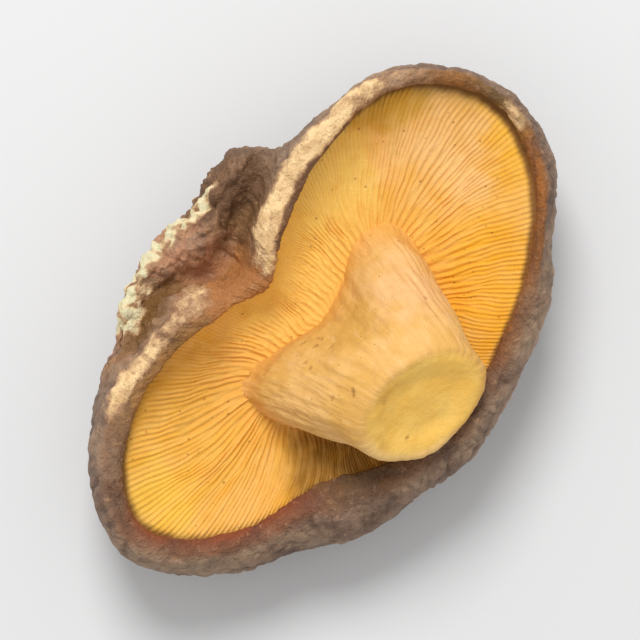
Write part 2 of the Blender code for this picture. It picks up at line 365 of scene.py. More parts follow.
def cap_place(angle, ring):
    """Place of the cap's surface before its wrinkles."""
    section = section_at(angle)
    name, along = cap_stretch(ring)
    if name == "bowl":
        radius, height = bowl_point(section, angle, along)
    elif name == "shoulder":
        radius, height = shoulder_point(section, angle, along)
    elif name == "roll":
        radius, height = roll_point(section, angle, along)
    else:
        groove_radius, groove_height = groove_of(section, angle)
        share = 1.0 if name == "tuck" else 1.0 - along
        radius = (groove_radius + (TUCK_IN * sin(along * pi) if name == "tuck" else 0.0)) * share
        height = bed_height(section, angle, share) - TUCK_DEPTH * (along if name == "tuck" else 1.0)
    return radius * cos(angle), radius * sin(angle), height


print("rim's crest at the large lobe's end, mm:", [round(value, 1) for value in cap_place(0.0, CREST_RING)])

# %% Pale flesh beside the fold
CHIPS = (104, 24, 8)  # direction, reach and fade of the pale chips along the crust's edge, in degrees
PALE_RIM = (54, 19, 22)  # of the pale flesh along the rim, on the large lobe's side of the fold
PALE_RIDGE = (131, 16, 8)  # and on the small lobe's side, where it is brightest at its far end
BRIGHT_RIDGE = (149, 5, 10)
RIM_BAND = (-0.45, 1.50)  # middle of the first pale band outside the rim's crest, and half its width
RIDGE_BAND = (0.15, 1.35)  # and of the second one, which strays outwards as it runs into the fold
RIDGE_STRAY = (3.6, 108.0, 127.0)  # how far it strays, and the directions between which it does


def band(distance, middle, half):
    """1 at the middle of a band, falling softly to 0 a little beyond half its width."""
    return 1.0 - smooth_step(0.4 * half, 1.5 * half, abs(distance - middle))


def pale_flesh(place, angle, outside, from_wall):
    """How much of the pale flesh shows, on the two bands beside the fold and on the chips at its edge."""
    wobble = 0.40 * drift(place, 2.2, 2.0) + 0.15 * drift(place, 0.8, 4.0)
    rim = arc(angle, *PALE_RIM) * band(outside + wobble, *RIM_BAND)
    stray, stray_from, stray_to = RIDGE_STRAY
    astray = 1.0 - smooth_step(stray_from, stray_to, degrees(angle) % 360.0)
    ridge = arc(angle, *PALE_RIDGE) * band(outside + wobble, RIDGE_BAND[0] + stray * astray, RIDGE_BAND[1])
    ridge *= 0.45 + 0.55 * arc(angle, *BRIGHT_RIDGE)
    worn = 0.58 + 0.42 * smooth_step(-0.45, 0.20, drift(place, 1.4, 11.0))
    chips = arc(angle, *CHIPS) * (1.0 - smooth_step(1.0, 2.3, from_wall + 2.5 * wobble))
    chips *= smooth_step(-0.35, 0.00, drift(place, 2.3, 31.0))
    chips *= 0.42 + 0.58 * smooth_step(-0.35, 0.00, drift(place, 1.0, 37.0))
    return max(rim, ridge) * worn, chips


print("pale bands along the rim, mm wide:", 2 * RIM_BAND[1], "and", 2 * RIDGE_BAND[1])

# %% Zones of the cap
# In this order: the upper edge of the wall and all above it, the way down to the crown, the wall below its
# widest line, the paler widest line, where chips and where worn flesh may show, the rolled rim, its inner
# lip, and the side under the roll
Zone = namedtuple("Zone", "upper down_wall wall dusty chipped worn rim lip under_rim")


def zone_at(name, along):
    """How much a point of the skin belongs to each zone of the cap, from 0 to 1."""
    if name == "bowl":
        return Zone(smooth_step(0.80, 0.97, along), 1.0 - smooth_step(0.1, 0.9, along),
                    smooth_step(0.95, 0.76, along), smooth_step(0.80, 1.0, along),
                    smooth_step(0.95, 1.0, along), 0.0, 0.0, 0.0, 0.0)
    if name == "shoulder":
        return Zone(1.0, 0.0, 0.0, 1.0 - smooth_step(0.0, 0.45, along), 1.0, 1.0,
                    smooth_step(0.72, 1.0, along), 0.5 * smooth_step(0.80, 1.0, along), 0.0)
    return Zone(1.0, 0.0, 0.0, 0.0, 1.0, 1.0, 1.0,
                0.5 + 0.5 * smooth_step(0.0, 0.35, along), smooth_step(0.55, 0.85, along))


print("zones of the cap:", Zone._fields)

# %% Wrinkle the cap
CRUST = (103, 32, 14)  # direction, reach and fade of the crust behind the fold, in degrees
CRUST_START = (1.2, 2.6)  # and where it starts outside the rim's crest
BAND_RISE, CHIP_RISE = 0.22, 0.22  # how far the pale bands and the chips stand out
LOBE = (167, 8, 22)  # direction, reach and fade of the small lobe's end
LOBE_BULGE = 0.5  # its wall stands out a little further than its section
PUCKER, PUCKERS_AROUND = 0.30, 4.5  # depth of the puckers, and how closely they follow each other
GATHER, GATHERS_AROUND = 0.20, 15.0  # and of the gathers
WALL_GATHER = 0.16  # depth of the gathers further down the wall
# the last number of each row is how much painted shade its creases get
CREASES = ((5.0, 3.0, 0.14, 0.5), (1.9, 8.0, 0.11, 0.4), (0.8, 18.0, 0.05, 0.2))  # size, seed, depth, shade
LEATHER_SIZE = 2.1  # size of the largest pads of the crumpled skin
LEATHER_DEPTH = 0.34  # and the depth of the valleys between them on the wall
LEATHER_DRAWN = 0.55  # below 1 draws the pads out up the wall
LUMPS = ((3.0, 12.0, 0.42), (1.4, 11.0, 0.26), (0.7, 13.0, 0.14))  # size, seed and height of the lumps
LUMP_CRACKS = ((2.2, 14.0, 0.32), (1.0, 15.0, 0.12))  # and of the cracks between them
RIM_EDGE = ((12.0, 0.14), (38.0, 0.08), (90.0, 0.03))  # how close the rim's bumps are, and how high
DEEPEST_FOLD = max(section.fold for section in CAP_SECTIONS)
HIDDEN = (0.0, 1.0, 1.0, 0.0, 0.0, 0.0, 1.0, 0.0)  # marks of the side under the gills


def crust_lumps(place):
    """Height of the crust at a point, from its lumps and the cracks between them."""
    lumps = sum(height * drift(place, size, seed) for size, seed, height in LUMPS)
    return lumps - sum(depth * creases(place, size, seed) for size, seed, depth in LUMP_CRACKS)


def cap_relief(place, angle, ring):
    """How far the wrinkles push a point of the skin, and its marks, in the order of their names below."""
    name, along = cap_stretch(ring)
    if name in ("tuck", "floor"):
        return 0.0, HIDDEN
    place = place.copy()
    section = section_at(angle)
    zone = zone_at(name, along)
    outside = hypot(place.x, place.y) - crest_of(section, angle)[0]
    from_wall = section.wall - hypot(place.x, place.y)
    ray = ray_to(angle)
    below_rim = (1 - zone.rim) * (1 - zone.down_wall)

    pucker = noise.noise(ray * PUCKERS_AROUND + Vector((0, 0, place.z * 0.04)))
    winding = noise.noise_vector(place / 8.0) * 1.2
    gathers = creases(ray * GATHERS_AROUND + Vector((3, 0, place.z * 0.12)) + winding, 1.0, 6.0)
    gathers *= smooth_step(-0.6, 0.4, drift(place, 9.0, 16.0))
    push = (PUCKER * pucker - GATHER * gathers + LOBE_BULGE * arc(angle, *LOBE)) * below_rim
    lines = [creases(place, size, seed) for size, seed, _, _ in CREASES]
    push -= sum(row[2] * line for row, line in zip(CREASES, lines)) * (1 - 0.4 * zone.rim + 0.7 * zone.wall)
    push -= WALL_GATHER * gathers * zone.wall * (1 - zone.down_wall)

    wall = zone.wall * (0.55 + 0.45 * smooth_step(0.30, 0.75, along))
    leather = crumple(Vector((place.x, place.y, LEATHER_DRAWN * place.z)), LEATHER_SIZE, 33.0)
    leather_here = (0.35 + 0.65 * wall) * (1 - 0.6 * zone.rim) * (1 - 0.5 * zone.down_wall)
    push += LEATHER_DEPTH * (leather - 0.6) * leather_here
    push += 0.05 * drift(place, 0.9, 5.0) + 0.10 * drift(place, 3.0, 7.0)

    crust = arc(angle, *CRUST) * zone.upper * smooth_step(*CRUST_START, outside)
    push += crust * crust_lumps(place)
    push += zone.rim * sum(height * noise.noise(ray * around) for around, height in RIM_EDGE)

    flesh, chips = pale_flesh(place, angle, outside, from_wall)
    flesh *= (1 - zone.under_rim) * zone.worn
    chips *= zone.chipped
    push += CHIP_RISE * chips + BAND_RISE * flesh + 0.08 * (chips + flesh) * drift(place, 0.7, 21.0)

    # the crease mark says how much painted shade the creases, the gathers and the valleys between the
    # leather's pads get
    crease = sum(row[3] * line for row, line in zip(CREASES, lines)) + 0.35 * gathers * below_rim
    crease = min(1.0, crease + 0.8 * smooth_step(0.45, 0.10, leather) * (0.4 + 0.6 * wall))
    hollow = fold_depth(section, outside) / DEEPEST_FOLD if name == "shoulder" else 0.0
    return push, (max(flesh, chips), zone.rim, crease, hollow, crust, chips, zone.lip, zone.dusty)


CAP_MARKS = ("pale", "rim", "crease", "hollow", "crust", "chip", "lip", "dusty")
leathery_cap = moulded("leathery_cap", CAP_STEPS, CAP_RINGS, cap_place, cap_relief, CAP_MARKS)
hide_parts("cap")

# %% [markdown]
# ## The gills
# A cap of this size carries a few hundred gills. Only one in four starts at the stem. The others start
# further out, wherever the gills would otherwise stand too far apart. They could be cut one by one, but a
# ridge that is made by a wave across the bed stays closed and light: a wide wave makes the longest gills,
# and narrower waves take over further out, so each new gill rises in the gap between two older ones. Each
# gill has its own height and its own starting place, and all of them bend a little on their way to the
# rim.

# %% Lines of the gills
GILLS = 300
GILL_STEPS = 5 * GILLS
TOP_RINGS, EDGE_RINGS, UNDER_RINGS = 59, 2, 5
BED_RINGS = TOP_RINGS + EDGE_RINGS + UNDER_RINGS
BED_THICK = 0.9
FOOT_CENTRE = (0.6, -2.6)
FOOT_HALF = (11.8, 5.6)
FOOT_BOW = 2.8  # how far the two ends of the stem's foot bend back towards the folded side
GILL_ROOT_SIZE = (0.75, 0.6)  # the gills start at this size of the foot, so the stem hides their ends
ROOT_SHARE = 0.07  # share of the way out that lies inside those starts
WANDER, FINE_WANDER = 0.07, 0.012  # how far a gill strays sideways, slowly and quickly, in radians


def foot_distance(x, y):
    """Distance from the middle of the stem's foot in sizes of the foot, so 1 is its outline."""
    along_foot = (x - FOOT_CENTRE[0]) / FOOT_HALF[0]
    across_foot = (y - FOOT_CENTRE[1] - FOOT_BOW * along_foot**2) / FOOT_HALF[1]
    return hypot(along_foot, across_foot)


def gill_line(angle, share):
    """Place on the plan along a gill, from the middle of the stem's foot (0) out to the groove (1)."""
    ray = ray_to(angle)
    sway = GILL_SWAY * sin(2 * angle + 1.0)
    sway += WANDER * noise.noise(ray * 2.6 + Vector((0, 0, share * 2.0)))
    sway += FINE_WANDER * noise.noise(ray * 14.0 + Vector((5, 0, share * 8.0)))
    turned = angle + sway * sin(pi * share)
    reach = groove_of(section_at(turned), turned)[0]
    in_foot = min(1.0, share / ROOT_SHARE)
    out = max(0.0, (share - ROOT_SHARE) / (1.0 - ROOT_SHARE))
    along_foot = in_foot * GILL_ROOT_SIZE[0] * cos(turned)
    across_foot = in_foot * GILL_ROOT_SIZE[1] * sin(turned)
    root_x = FOOT_CENTRE[0] + FOOT_HALF[0] * along_foot
    root_y = FOOT_CENTRE[1] + FOOT_HALF[1] * across_foot + FOOT_BOW * along_foot**2
    return (root_x + (reach * cos(turned) - root_x) * out,
            root_y + (reach * sin(turned) - root_y) * out)


print("the first gill runs from", [round(value, 1) for value in gill_line(0.0, ROOT_SHARE)],
      "to", [round(value, 1) for value in gill_line(0.0, 1.0)])

# %% Ridges of the gills
GILL_TALL = 0.28  # the tallest a gill gets
GILL_STEEPNESS = 0.70  # the most height for each millimetre between two gills
GILL_BACKS = 0.7  # below 1 makes the gills' backs wider than the gaps between them
GILL_TEETH = 0.45  # how much of a gill's height its finely toothed edge takes
TEETH_AROUND, TEETH_OUT = 43.0, 22.0  # how quickly the teeth change from gill to gill and along a gill
SECOND_START, THIRD_START = 0.24, 0.50  # share of the way out at which the shorter gills start
START_LENGTH = 0.16  # and over which they rise
GUTTER = 0.40  # how deep the groove along the rim is
SWELL, FINE_SWELL = 0.42, 0.16  # how far the bed heaves, in broad and in narrow waves
gill_luck = random.Random(11)
gill_heights = [0.62 + 0.38 * gill_luck.random() for _ in range(GILLS)]
gill_delays = [0.20 * (gill_luck.random() - 0.5) for _ in range(GILLS)]


def gill_wave(number, width):
    """A ridge over every gill whose number is a multiple of a width."""
    index = int(number / width + 0.5) * width
    return gill_heights[index % GILLS] * abs(cos(pi * number / width)) ** (2 * GILL_BACKS)


def gill_ridge(angle, share):
    """Height of the gills at a point of the bed, from 0 to 1, and how many gills wide a ridge is."""
    number = angle / tau * GILLS
    second = (4 * int(number / 4) + 2) % GILLS
    third = (2 * int(number / 2) + 1) % GILLS
    start_second, start_third = SECOND_START + gill_delays[second], THIRD_START + gill_delays[third]
    second_there = smooth_step(start_second, start_second + START_LENGTH, share)
    third_there = smooth_step(start_third, start_third + START_LENGTH, share) * second_there
    longest, longer, every = gill_wave(number, 4), gill_wave(number, 2), gill_wave(number, 1)
    ridge = longest + (longer - longest) * second_there + (every - longer) * third_there
    return ridge, 4.0 / (1.0 + second_there + 2.0 * third_there)


def gill_bed_place(angle, ring):
    """Place of the gill bed's surface, and its hidden side under the gills."""
    if ring <= UNDER_RINGS:
        x, y = gill_line(angle, ring / UNDER_RINGS)
        return x, y, bed_height_at(x, y) - BED_THICK
    share = min(1.0, (BED_RINGS - ring) / TOP_RINGS)
    down = max(0.0, (BED_RINGS - ring - TOP_RINGS) / (EDGE_RINGS + 1))
    x, y = gill_line(angle, share)
    ray = ray_to(angle)
    swell = SWELL * noise.noise(ray * 2.4 + Vector((0, 0, share * 1.4)))
    swell += FINE_SWELL * noise.noise(ray * 9.0 + Vector((7, 0, share * 3.0)))
    ridge, width = gill_ridge(angle, share)
    spacing = width * tau / GILLS * hypot(x - FOOT_CENTRE[0], y - FOOT_CENTRE[1])
    teeth = noise.noise(Vector((ray.x * TEETH_AROUND, ray.y * TEETH_AROUND, share * TEETH_OUT)))
    rise = min(GILL_TALL, GILL_STEEPNESS * spacing) * ridge * smooth_step(0.0, ROOT_SHARE, share)
    rise *= 1.0 + GILL_TEETH * teeth
    sink = smooth_step(0.90, 1.0, share)
    top = bed_height_at(x, y) + swell * sin(pi * share) ** 0.5 + rise * (1 - sink) - GUTTER * sink
    return x, y, top - BED_THICK * down * 0.5


def gill_bed_marks(place, angle, ring):
    """Leaves the bed as it is, and marks its gaps, the way out, the stem's foot and each gill's number."""
    share = min(1.0, max(0.0, (BED_RINGS - ring) / TOP_RINGS))
    gap = 1.0 - gill_ridge(angle, share)[0]
    by_foot = 1.0 - smooth_step(0.95, 1.5, foot_distance(place.x, place.y))
    one_gill = GILLS / tau
    return 0.0, (gap, share, by_foot, one_gill * cos(angle), one_gill * sin(angle))


BED_MARKS = ("gap", "outward", "by_foot", "across_x", "across_y")
gill_bed = moulded("gill_bed", GILL_STEPS, BED_RINGS, gill_bed_place, gill_bed_marks, BED_MARKS)
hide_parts("cap")

# %% [markdown]
# ## The stem
# The stem leans over the gills on its spread foot and ends where it was cut. It is moulded the same way:
# sections that shrink from the foot to the cut end follow a bent line. Long fibres, a few lumps and small
# pits make its skin, a valley runs down its back between the foot's two arms, and the cut face has dried
# hollow inside a rounded edge.

# %% Mould the stem
STEM_STEPS = 400
FOOT_RINGS, SIDE_RINGS, CUT_RINGS = 8, 116, 30
STEM_RINGS = FOOT_RINGS + SIDE_RINGS + CUT_RINGS
FOOT_FULLNESS = 0.7  # below 1 makes the two ends of the foot blunter than an ellipse
STEM_BEND = (0.3, -4.8, 14.9)
STEM_END = (-0.4, -12.6, 19.2)
STEM_END_HALF = (7.1, 5.6)
CUT_TILT = radians(38)
CUT_TURN = radians(14)  # how far the cut end is turned about the upward direction, to the small lobe
CUT_EDGE = 0.5  # how far the cut face's edge stands out beyond the end of the stem's side
CUT_SINK = 0.5  # how far the middle of the cut face has shrunk back from its edge
CUT_SHARE = 0.82  # share of the stem's width that the cut face keeps inside its rounded edge
FOOT_DENT = 0.32  # hollow between the foot's two buttresses, on the side away from the lean
FOOT_BLEND = 0.28  # share of the stem over which it lifts off the gill bed
FOOT_ROOT = -0.35  # the foot starts this far under the gills' backs, so no gap shows around it


def stem_section_place(angle, along, share):
    """Place in a section of the stem, at a share of the way from its middle (0) to its skin (1)."""
    foot = (*FOOT_CENTRE, bed_height_at(*FOOT_CENTRE))
    middle = [(1 - along) ** 2 * start + 2 * along * (1 - along) * bend + along**2 * end
              for start, bend, end in zip(foot, STEM_BEND, STEM_END)]
    half_width, half_depth = (at_foot + (at_end - at_foot) * along
                              for at_foot, at_end in zip(FOOT_HALF, STEM_END_HALF))
    dent = 1 - FOOT_DENT * (1 - along) * max(0.0, sin(angle)) ** 4
    fullness = FOOT_FULLNESS + (1 - FOOT_FULLNESS) * along
    tilt = CUT_TILT * smooth_step(0.0, 1.0, along)
    across = share * half_width * cos(angle)
    upward = share * half_depth * copysign(abs(sin(angle)) ** fullness, sin(angle)) * dent
    bow = FOOT_BOW * (share * cos(angle)) ** 2 * (1 - along) ** 2
    turn = CUT_TURN * along
    back = upward * cos(tilt)
    x = middle[0] + across * cos(turn) + back * sin(turn)
    y = middle[1] + back * cos(turn) - across * sin(turn) + bow
    lifted = middle[2] + upward * sin(tilt)
    resting = bed_height_at(x, y) + FOOT_ROOT
    lift = smooth_step(0.0, FOOT_BLEND, along)
    return x, y, resting + (lifted - resting) * lift


def stem_place(angle, ring):
    """Place of the stem's surface from under the foot to the middle of the cut face."""
    if ring <= FOOT_RINGS:
        return stem_section_place(angle, 0.0, ring / FOOT_RINGS)
    if ring <= FOOT_RINGS + SIDE_RINGS:
        return stem_section_place(angle, (ring - FOOT_RINGS) / SIDE_RINGS, 1.0)
    inward = (ring - FOOT_RINGS - SIDE_RINGS) / CUT_RINGS
    x, y, z = stem_section_place(angle, 1.0, 1.0 - inward)
    rounding = min(1.0, inward / (1.0 - CUT_SHARE))
    shrunk = smooth_step(0.0, 0.5, (inward - (1.0 - CUT_SHARE)) / CUT_SHARE)
    outward = CUT_EDGE * sqrt(1.0 - (1.0 - rounding) ** 2) - CUT_SINK * shrunk
    level = outward * sin(CUT_TILT)
    return x - level * sin(CUT_TURN), y - level * cos(CUT_TURN), z + outward * cos(CUT_TILT)


print("cut end, mm:", [round(value, 1) for value in stem_place(0.0, STEM_RINGS)])

# %% Fibres of the stem
FIBRE, FINE_FIBRE = 0.16, 0.05  # depth of the long fibres and of the threads between them
LUMP, PIT = 0.26, 0.16  # height of the lumps, and depth of the pits
PIT_SPACING = 1.7
VALLEY_DEPTH = 0.9  # the valley that runs down the stem's back between the foot's two arms
VALLEY_HALF = 0.42  # half its width, in radians around the stem
PALE_EDGE = (225, 35, 35)  # direction, reach and fade of the pale edge below the cut face, in degrees
DARK_EDGE = (150, 30, 40)  # and of the dark line beside it
STEM_AROUND, STEM_ALONG = 7.0, 4.0  # sizes of the stem for its threads, which are drawn out along it


def stem_relief(place, angle, ring):
    """How far fibres, lumps and pits push a point of the stem, and its marks, in the order below."""
    along = min(1.0, max(0.0, (ring - FOOT_RINGS) / SIDE_RINGS))
    inward = max(0.0, (ring - FOOT_RINGS - SIDE_RINGS) / CUT_RINGS)
    on_cut = smooth_step(0.02, 0.20, inward)
    ray = ray_to(angle)
    bend = noise.noise(place / 5.0)
    fibre = noise.noise(ray * 11.0 + Vector((bend, 0, along * 3.2)))
    thread = noise.noise(ray * 34.0 + Vector((0, 1.5 * bend, along * 9.0)))
    lump = drift(place, 3.6, 2.0)
    near = noise.voronoi(place / PIT_SPACING + noise.noise_vector(place) * 0.3)[0][0]
    chosen = smooth_step(0.05, 0.35, drift(place, 2.6, 17.0))
    pit = (1.0 - smooth_step(0.06, 0.22, near)) * chosen
    skin_push = (FIBRE * fibre + FINE_FIBRE * thread) * (1.0 - 0.65 * smooth_step(0.70, 1.0, along))
    skin_push += LUMP * lump + 0.06 * drift(place, 0.9, 6.0) - PIT * pit
    cut_push = 0.12 * drift(place, 2.4, 9.0) + 0.03 * drift(place, 0.6, 4.0)
    around = (angle - pi / 2 + 0.25 * bend) / VALLEY_HALF
    valley = exp(-around * around) * (1.0 - smooth_step(0.40, 0.78, along))
    push = (skin_push - VALLEY_DEPTH * valley) * (1 - on_cut) + cut_push * on_cut
    at_foot = 1.0 - smooth_step(0.0, 0.35, along)
    edge = band(inward, 0.08, 0.10) * arc(angle, *PALE_EDGE)
    ring_line = band(inward + 0.05 * drift(place, 2.0, 23.0), 0.24, 0.09) * arc(angle, *DARK_EDGE)
    threads = (STEM_AROUND * ray.x, STEM_AROUND * ray.y, STEM_ALONG * along)
    marks = (on_cut, pit, at_foot, 0.5 + 0.5 * fibre, edge, valley, ring_line, *threads)
    return push * (1.0 if ring > FOOT_RINGS else 0.0), marks


STEM_MARKS = ("cut", "pit", "at_foot", "fibre", "edge", "valley", "ring_line",
              "around_x", "around_y", "along")
fibrous_stem = moulded("fibrous_stem", STEM_STEPS, STEM_RINGS, stem_place, stem_relief, STEM_MARKS)
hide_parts("stem")

# %% [markdown]
# ## Writing finishes as sums
# A finish is a net of small nodes, and long nets are hard to read. Here a socket can be added, multiplied
# and subtracted like a number, and each sign adds its own Math node. Everything else goes through one
# method that makes a node, gives it its settings and then fills its sockets. A finish keeps the colour
# that it has reached, and lays one coat of colour after another over it.

# %% Sockets that can be added and multiplied
class Thread:
    """One value that runs through a finish, with signs that add Math nodes."""

    def __init__(self, finish, socket):
        self.finish = finish
        self.socket = socket

    def sum_with(self, operation, first, second):
        return self.finish.node("Math", {"operation": operation}, {0: first, 1: second})

    def __add__(self, other):
        return self.sum_with("ADD", self, other)

    __radd__ = __add__

    def __sub__(self, other):
        return self.sum_with("SUBTRACT", self, other)

    def __rsub__(self, other):
        return self.sum_with("SUBTRACT", other, self)

    def __mul__(self, other):
        return self.sum_with("MULTIPLY", self, other)

    __rmul__ = __mul__


print("signs between threads that add a node: + - *")

# %% A finish and its nodes
GRAIN_ROUGHNESS = 0.55  # how much each finer layer of a noise adds
PATCH_START = 0.3  # share of a patch's reach within which its colour is full
PATCH_RAGGED = 1.4  # and how unevenly it fades from there
SPECK_CORE = 0.07  # half the width of a speck's full colour, in spaces between specks


def paint(red, green, blue):
    """A colour as a socket takes it, from linear red, green and blue."""
    return (red, green, blue, 1.0)


class Finish:
    """A material whose nodes are made one call at a time."""

    def __init__(self, name):
        self.material = bpy.data.materials.new(name)
        self.material.use_nodes = True
        self.tree = self.material.node_tree
        self.shader = self.tree.nodes["Principled BSDF"]
        self.colour = paint(1.0, 1.0, 1.0)

    def node(self, kind, settings, sockets, output=0):
        """Makes a node, sets it up, fills its sockets with values or threads, and returns an output."""
        made = self.tree.nodes.new("ShaderNode" + kind)
        for setting, value in settings.items():
            setattr(made, setting, value)
        for socket, value in sockets.items():
            self.fill(made.inputs[socket], value)
        return Thread(self, made.outputs[output])

    def fill(self, socket, value):
        """Links a thread to a socket, or sets the socket to a plain value."""
        if isinstance(value, Thread):
            self.tree.links.new(value.socket, socket)
        else:
            socket.default_value = value

    def mark(self, name):
        """A mark that the moulding left on the piece's points."""
        return self.node("Attribute", {"attribute_name": name}, {}, "Fac")

    def place(self):
        """Where on the mushroom a point is, in millimetres."""
        spot = self.node("TexCoord", {}, {}, "Object")
        return self.node("VectorMath", {"operation": "SCALE"}, {0: spot, "Scale": 1 / MM})

    def grain(self, place, size, detail=3.0):
        """Noise from 0 to 1 with features of one size."""
        sockets = {"Vector": place, "Scale": 1.0 / size, "Detail": detail, "Roughness": GRAIN_ROUGHNESS}
        return self.node("TexNoise", {}, sockets, "Fac")

    def between(self, value, low, high):
        """0 below low, 1 above high and smooth in between."""
        sockets = {"Value": value, "From Min": low, "From Max": high}
        return self.node("MapRange", {"interpolation_type": "SMOOTHSTEP"}, sockets)

    def blend(self, share, first, second):
        """Mixes two colours by a share."""
        return self.node("Mix", {"data_type": "RGBA"}, {0: share, 6: first, 7: second}, 2)

    def coat(self, share, red, green, blue):
        """Lays a colour over the one reached so far, by a share."""
        self.colour = self.blend(share, self.colour, paint(red, green, blue))

    def shade(self, factor):
        """Makes the colour lighter or darker."""
        self.colour = self.node("VectorMath", {"operation": "SCALE"}, {0: self.colour, "Scale": factor})

    def near(self, place, spot, reach):
        """1 near a spot of the mushroom, fading unevenly to 0 at a reach from it."""
        away = self.node("VectorMath", {"operation": "DISTANCE"}, {0: place, 1: spot}, "Value")
        uneven = self.grain(place, 0.45 * reach, 2.0) - 0.5
        return 1.0 - self.between(away * (1.0 / reach) + uneven * PATCH_RAGGED, PATCH_START, 1.0)

    def patches(self, place, rows):
        """Coats places; a row is a place in mm, its reach, a share, a colour, and a mark or none."""
        for spot, reach, share, tint, *marks in rows:
            there = self.near(place, spot, reach) * share
            for name in marks:
                there = there * self.mark(name)
            self.coat(there, *tint)

    def specks(self, place, per_mm, reach, cluster, start):
        """1 on small round specks, where a slow noise with clusters of one size is above its start."""
        away = self.node("TexVoronoi", {"feature": "F1"}, {"Vector": place, "Scale": per_mm}, "Distance")
        chosen = self.between(self.grain(place, cluster), start, 0.56)
        return (1.0 - self.between(away, SPECK_CORE, reach)) * chosen

    def bump(self, height, distance):
        """Turns fine heights into a slope of the surface."""
        return self.node("Bump", {}, {"Height": height, "Distance": distance, "Strength": 1.0})

    def wear(self, piece, roughness, normal=None, **fixed):
        """Feeds the shader, sets its plain values and puts the finish on a piece."""
        self.fill(self.shader.inputs["Base Color"], self.colour)
        self.fill(self.shader.inputs["Roughness"], roughness)
        if normal is not None:
            self.fill(self.shader.inputs["Normal"], normal)
        for socket, value in fixed.items():
            self.shader.inputs[socket.replace("_", " ")].default_value = value
        piece.data.materials.append(self.material)
        print(self.material.name, "has", len(self.tree.nodes), "nodes")


print("a finish can:", [name for name in vars(Finish) if not name.startswith("_")])

# %% [markdown]
# ## Finish of the gills
# Dried gills turn a warm yellow-orange. Painted shade makes the colour deeper where two gills press
# together and darkest along the rim, in the groove under the rolled edge, and the gills have paler streaks
# that follow them and small brown specks. The streaks come from noise that is stretched along the gills by
# the marks that the moulding left. A table gives the places that have a colour of their own, and places of
# painted light, painted shade, a painted shadow and a painted highlight.

# %% Gill finish
GILL_PATCHES = (
    # painted light: this row and the next lighten gills that lie in the folded rim's shade
    ((4.0, 8.5, 10.0), 14.0, 0.95, (0.97, 0.65, 0.15)),  # beside the folded rim
    ((12.4, 9.0, 10.5), 7.0, 0.90, (0.97, 0.66, 0.16)),
    ((-13.2, 8.2, 10.5), 6.0, 0.62, (0.64, 0.32, 0.042)),  # painted shade of the small lobe's rim
    ((20.5, 1.9, 12.0), 9.0, 0.85, (0.94, 0.58, 0.235)),  # middle of the large lobe
    ((-9.3, -10.6, 9.5), 9.5, 0.88, (0.26, 0.115, 0.010)),  # painted shadow of the stem on the gills
    ((-10.9, 6.0, 9.5), 5.5, 0.45, (0.66, 0.33, 0.045)),  # between the small lobe's rim and the stem
    ((20.6, 9.0, 12.5), 5.5, 0.70, (0.60, 0.34, 0.025)),  # olive painted shade along the large lobe's rim
    ((-24.0, 3.0, 11.0), 6.0, 0.70, (0.92, 0.57, 0.07)),  # painted highlight on the small lobe's yellow end
    ((12.5, -10.1, 11.0), 9.0, 0.85, (0.93, 0.45, 0.018)),  # orange side of the large lobe
    ((25.5, -3.5, 13.0), 5.0, 0.70, (0.93, 0.49, 0.030)),
)
LOW_END = (-20.0, -6.0, 11.0)  # the painted rim shade fades here, in millimetres
gills = Finish("dried_gills")
place = gills.place()
along_gills = gills.node("CombineXYZ", {}, {
    "X": gills.mark("across_x"), "Y": gills.mark("across_y"), "Z": gills.mark("outward") * 6.0})
streak = gills.grain(along_gills, 1.8, 2.0)
broad = gills.grain(along_gills, 9.0, 2.0)
patch = gills.between(gills.grain(place, 6.0, 2.0), 0.38, 0.64)
gills.colour = gills.blend(patch, paint(0.87, 0.45, 0.050), paint(0.90, 0.50, 0.09))
gills.coat(gills.between(broad, 0.42, 0.62) * 0.45, 0.90, 0.50, 0.15)
gills.patches(place, GILL_PATCHES)
gills.coat(gills.between(gills.grain(place, 2.6), 0.50, 0.68) * 0.30, 0.76, 0.37, 0.030)
gills.coat(gills.between(streak, 0.40, 0.72) * 0.30, 0.92, 0.57, 0.18)
gills.coat(gills.mark("by_foot") * 0.45, 0.86, 0.45, 0.09)
# painted shade in the gaps between the gills
gills.coat(gills.mark("gap") * 0.16, 0.52, 0.20, 0.015)
# painted shade: the gills darken along the groove under the rolled rim
ragged = 0.05 * (gills.grain(along_gills, 3.0) - 0.5)
rim_shade = gills.between(gills.mark("outward") + ragged, 0.925, 0.968)
rim_shade = rim_shade * (1.0 - 0.6 * gills.near(place, LOW_END, 11.0))
gills.coat(rim_shade * 0.92, 0.20, 0.075, 0.014)
gills.coat(gills.specks(place, 0.9, 0.15, 2.5, 0.48) * 0.65, 0.26, 0.10, 0.02)
fine = gills.grain(place, 0.22)
gills.shade(0.90 + 0.20 * fine)
gills.wear(gill_bed, 0.62 + 0.16 * streak, gills.bump(fine, 0.00006), Specular_IOR_Level=0.3)
